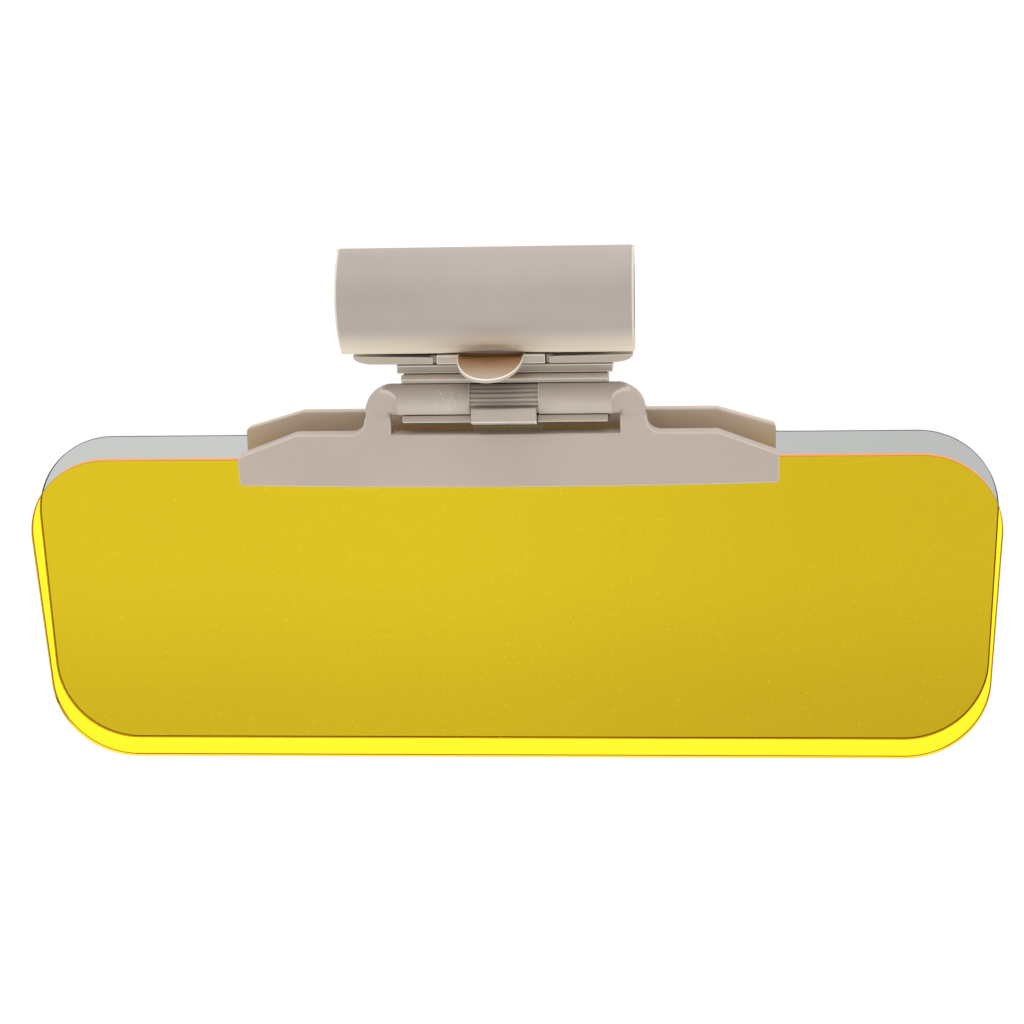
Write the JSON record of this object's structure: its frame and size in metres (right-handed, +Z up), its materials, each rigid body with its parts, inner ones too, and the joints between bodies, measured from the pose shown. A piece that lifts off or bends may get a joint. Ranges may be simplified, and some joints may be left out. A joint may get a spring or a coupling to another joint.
{
  "type": "clip-on car sun visor extender",
  "caption": "Spring clip for a car sun visor that carries a hinged yellow night lens in front of a hinged grey day lens, each tilting on its own toothed rod.",
  "frame": {"origin": "grip point: middle of the flat face of the rear rubber pad, where the clip holds the car's sun visor", "axes": "+X across the lenses, +Y away from the driver, +Z up; both lenses hang below the clip"},
  "size_m": [0.3184, 0.0369, 0.1736],
  "materials": {
    "back_jaw": "satin moulded plastic",
    "rear_pad": "matt ribbed rubber",
    "hinge_pin": "drawn steel rod",
    "spring_left": "spring wire",
    "spring_right": "spring wire",
    "bracket_screw_left": "zinc plated",
    "bracket_screw_right": "zinc plated",
    "shell_jaw": "satin moulded plastic",
    "thumb_lever": "satin moulded plastic",
    "front_pad": "matt rubber",
    "collar_plate": "satin moulded plastic",
    "rod_socket": "satin moulded plastic",
    "front_pawl": "satin moulded plastic",
    "rear_pawl": "satin moulded plastic",
    "front_holder": "satin moulded plastic",
    "yellow_lens": "polished clear yellow acrylic",
    "front_back_plate": "satin moulded plastic",
    "rear_holder": "satin moulded plastic",
    "grey_lens": "polished grey tinted acrylic",
    "rear_back_plate": "satin moulded plastic",
    "front_lens_screw_1": "zinc plated",
    "front_lens_screw_2": "zinc plated",
    "front_lens_screw_3": "zinc plated",
    "front_lens_screw_4": "zinc plated",
    "rear_lens_screw_1": "zinc plated",
    "rear_lens_screw_2": "zinc plated",
    "rear_lens_screw_3": "zinc plated",
    "rear_lens_screw_4": "zinc plated"
  },
  "bodies": {
    "clip_base": {"back_jaw": "back_jaw", "rear_pad": "rear_pad", "hinge_pin": "hinge_pin", "spring_left": "spring_left", "spring_right": "spring_right", "bracket_screw_left": "bracket_screw_left", "bracket_screw_right": "bracket_screw_right", "collar_plate": "collar_plate", "rod_socket": "rod_socket", "front_pawl": "front_pawl", "rear_pawl": "rear_pawl"},
    "clip_shell": {"shell_jaw": "shell_jaw", "thumb_lever": "thumb_lever", "front_pad": "front_pad"},
    "front_lens_unit": {"front_holder": "front_holder", "yellow_lens": "yellow_lens", "front_back_plate": "front_back_plate", "front_lens_screw_1": "front_lens_screw_1", "front_lens_screw_2": "front_lens_screw_2", "front_lens_screw_3": "front_lens_screw_3", "front_lens_screw_4": "front_lens_screw_4"},
    "rear_lens_unit": {"rear_holder": "rear_holder", "grey_lens": "grey_lens", "rear_back_plate": "rear_back_plate", "rear_lens_screw_1": "rear_lens_screw_1", "rear_lens_screw_2": "rear_lens_screw_2", "rear_lens_screw_3": "rear_lens_screw_3", "rear_lens_screw_4": "rear_lens_screw_4"}
  },
  "joints": [
    {"name": "jaw_hinge", "type": "hinge", "parent": "clip_base", "child": "clip_shell", "pos_m": [0, -0.0063, -0.017], "axis": [1, 0, 0], "range_deg": [0, 20], "stiffness_Nm_per_rad": 0.6, "springref_deg": -20.05, "deforming": ["spring_left", "spring_right"]},
    {"name": "front_lens_tilt", "type": "hinge", "parent": "clip_base", "child": "front_lens_unit", "pos_m": [0.0044, -0.0113, -0.03855], "axis": [-1, 0, 0], "range_deg": [0, 100]},
    {"name": "rear_lens_tilt", "type": "hinge", "parent": "clip_base", "child": "rear_lens_unit", "pos_m": [0.0044, 0.0032, -0.04881], "axis": [1, 0, 0], "range_deg": [0, 120]}
  ]
}
